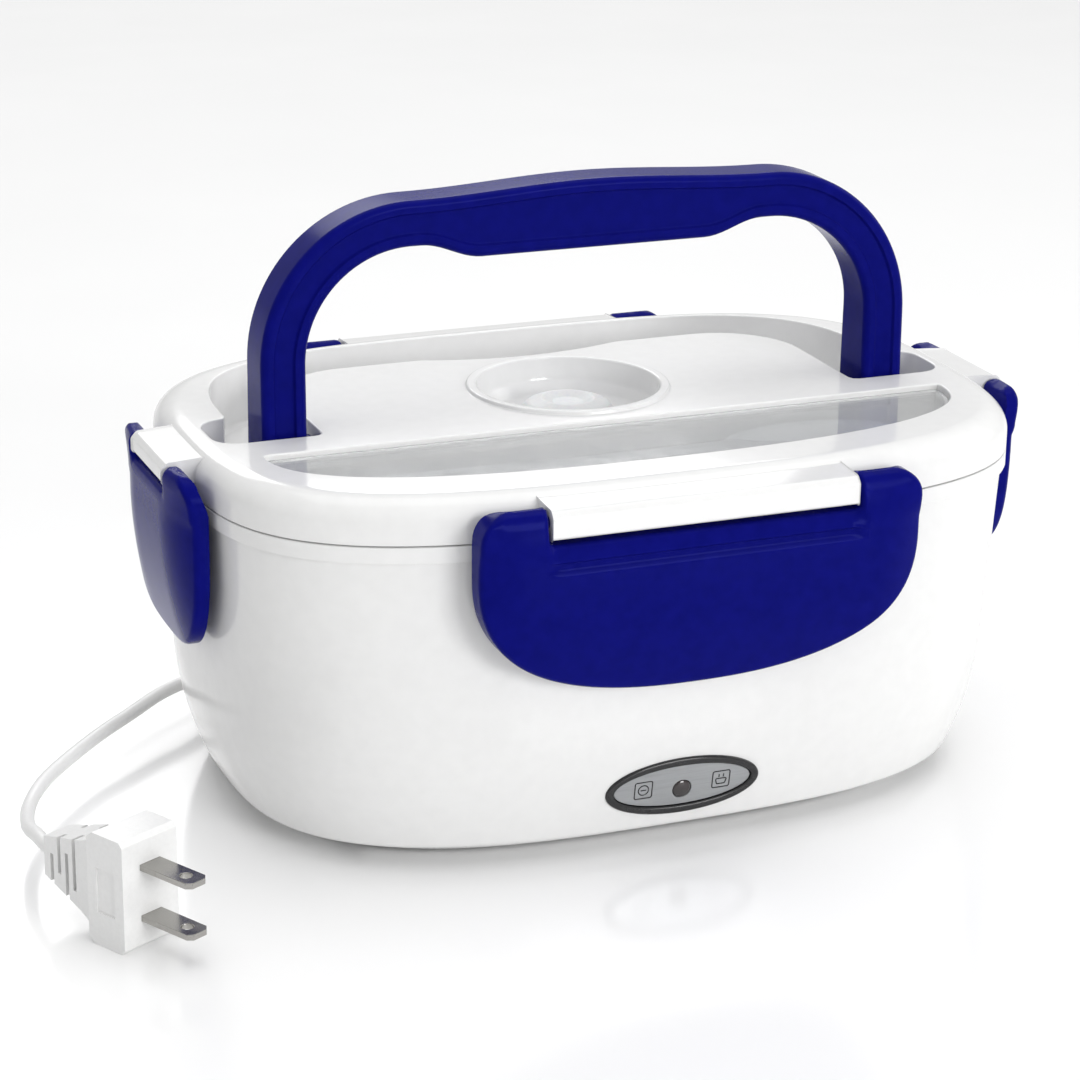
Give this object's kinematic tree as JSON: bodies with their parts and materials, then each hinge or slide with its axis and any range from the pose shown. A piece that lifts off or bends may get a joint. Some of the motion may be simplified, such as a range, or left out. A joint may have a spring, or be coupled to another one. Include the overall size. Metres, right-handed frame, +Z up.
{
  "type": "electric lunch box",
  "caption": "Portable heated lunch box with a lift-off lid, four side latches, folding carry handle, spoon compartment, vent plug and mains lead.",
  "frame": {"origin": "middle of the footprint, on the surface that the rubber feet stand on", "axes": "+X to the right along the long side, +Y to the back (the mains inlet's side), +Z up; the indicator panel faces -Y"},
  "size_m": [0.2727, 0.2547, 0.1545],
  "materials": {
    "white_plastic": "smooth white moulded plastic",
    "blue_plastic": "smooth deep blue moulded plastic",
    "stainless": "satin stainless sheet",
    "plate_aluminium": "machined",
    "clear_cover": "clear plastic",
    "white_silicone": "translucent white silicone",
    "foot_rubber": "matt dark rubber",
    "liner_plastic": "natural plastic",
    "dish_plastic": "natural plastic",
    "spoon_plastic": "white plastic",
    "screw_steel": "zinc plated",
    "bezel_plastic": "black plastic",
    "panel_metal": "brushed grey",
    "lens_plastic": "dark lens",
    "board_resin": "green board",
    "dark_resin": "black resin",
    "wire_sleeve": "insulated wire",
    "contact_brass": "turned",
    "cord_vinyl": "white vinyl",
    "blade_metal": "nickel plated"
  },
  "bodies": {
    "base": {"base_housing": "white_plastic", "bottom_cover": "white_plastic", "rubber_feet": "foot_rubber", "housing_screws": "screw_steel", "heater_well": "stainless", "heating_plate": "plate_aluminium", "ptc_heater": "plate_aluminium", "heater_bracket": "stainless", "thermal_fuse": "stainless", "thermostat": "dark_resin", "indicator_board": "board_resin", "wire_harness": "wire_sleeve", "inlet_socket": "dark_resin", "inlet_pins": "contact_brass", "panel_bezel": "bezel_plastic", "panel_face": "panel_metal", "indicator_lens": "lens_plastic", "cord_connector": "cord_vinyl", "cord_feed": "cord_vinyl", "cord_coil": "cord_vinyl", "cord_lead": "cord_vinyl", "plug_body": "cord_vinyl", "plug_blades": "blade_metal"},
    "tray": {"food_tray": "stainless"},
    "dish": {"side_dish": "dish_plastic"},
    "lid": {"lid_shell": "white_plastic", "lid_liner": "liner_plastic", "lid_seal": "white_silicone"},
    "front_latch": {"latch_front": "blue_plastic"},
    "back_latch": {"latch_back": "blue_plastic"},
    "left_latch": {"latch_left": "blue_plastic"},
    "right_latch": {"latch_right": "blue_plastic"},
    "carry_handle": {"handle": "blue_plastic"},
    "vent": {"vent_plug": "white_silicone"},
    "spoon": {"spoon": "spoon_plastic"},
    "cover": {"spoon_cover": "clear_cover"}
  },
  "joints": [
    {"name": "tray_lift", "type": "slide", "parent": "base", "child": "tray", "axis": [0, 0, 1], "range_m": [0, 0.12]},
    {"name": "dish_lift", "type": "slide", "parent": "tray", "child": "dish", "axis": [0, 0, 1], "range_m": [0, 0.06]},
    {"name": "lid_lift", "type": "slide", "parent": "dish", "child": "lid", "axis": [0, 0, 1], "range_m": [0, 0.1]},
    {"name": "front_latch_turn", "type": "hinge", "parent": "lid", "child": "front_latch", "pos_m": [0, -0.0759, 0.0912], "axis": [-1, 0, 0], "range_deg": [0, 110]},
    {"name": "back_latch_turn", "type": "hinge", "parent": "lid", "child": "back_latch", "pos_m": [0, 0.0759, 0.0912], "axis": [1, 0, 0], "range_deg": [0, 110]},
    {"name": "left_latch_turn", "type": "hinge", "parent": "lid", "child": "left_latch", "pos_m": [-0.1121, 0, 0.0912], "axis": [0, 1, 0], "range_deg": [0, 110]},
    {"name": "right_latch_turn", "type": "hinge", "parent": "lid", "child": "right_latch", "pos_m": [0.1121, 0, 0.0912], "axis": [0, -1, 0], "range_deg": [0, 110]},
    {"name": "handle_fold", "type": "hinge", "parent": "lid", "child": "carry_handle", "pos_m": [0, -0.002, 0.0885], "axis": [1, 0, 0], "range_deg": [-90, 3]},
    {"name": "vent_pull", "type": "slide", "parent": "lid", "child": "vent", "axis": [0, 0, 1], "range_m": [0, 0.01]},
    {"name": "spoon_lift", "type": "slide", "parent": "lid", "child": "spoon", "axis": [0, 0, 1], "range_m": [0, 0.05]},
    {"name": "cover_lift", "type": "slide", "parent": "spoon", "child": "cover", "axis": [0, 0, 1], "range_m": [0, 0.05]}
  ]
}
